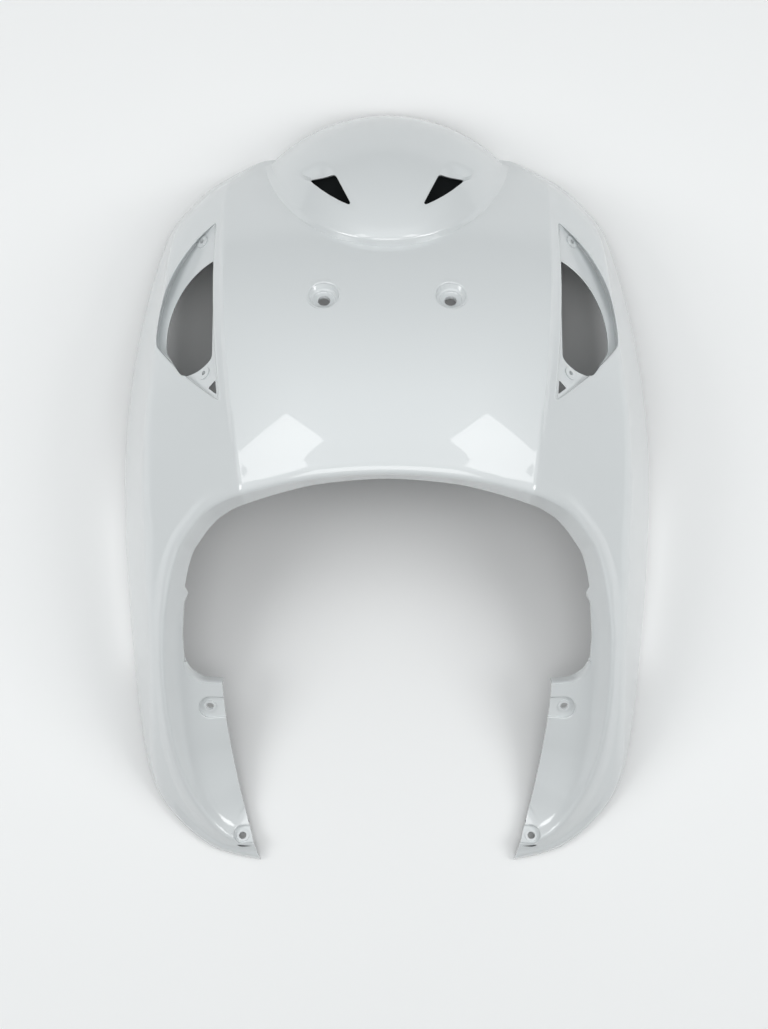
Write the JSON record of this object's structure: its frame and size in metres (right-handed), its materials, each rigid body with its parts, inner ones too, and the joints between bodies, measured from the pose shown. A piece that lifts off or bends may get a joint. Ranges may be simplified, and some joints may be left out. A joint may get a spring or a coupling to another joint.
{
  "type": "scooter front fairing",
  "caption": "Moulded scooter front shield with a wheel arch between two legs, indicator pockets, vents in the nose and screw recesses, hollow behind.",
  "frame": {"origin": "bottom centre of the part as it lies face up on its rim", "axes": "+X to the right as seen from the front, +Y up the vehicle towards the nose, +Z out of the front face"},
  "size_m": [0.415, 0.5972, 0.1863],
  "materials": {
    "shell": "gloss white paint on the front, bare dark plastic behind"
  },
  "bodies": {
    "root": {"front_fairing": "shell"}
  },
  "joints": []
}
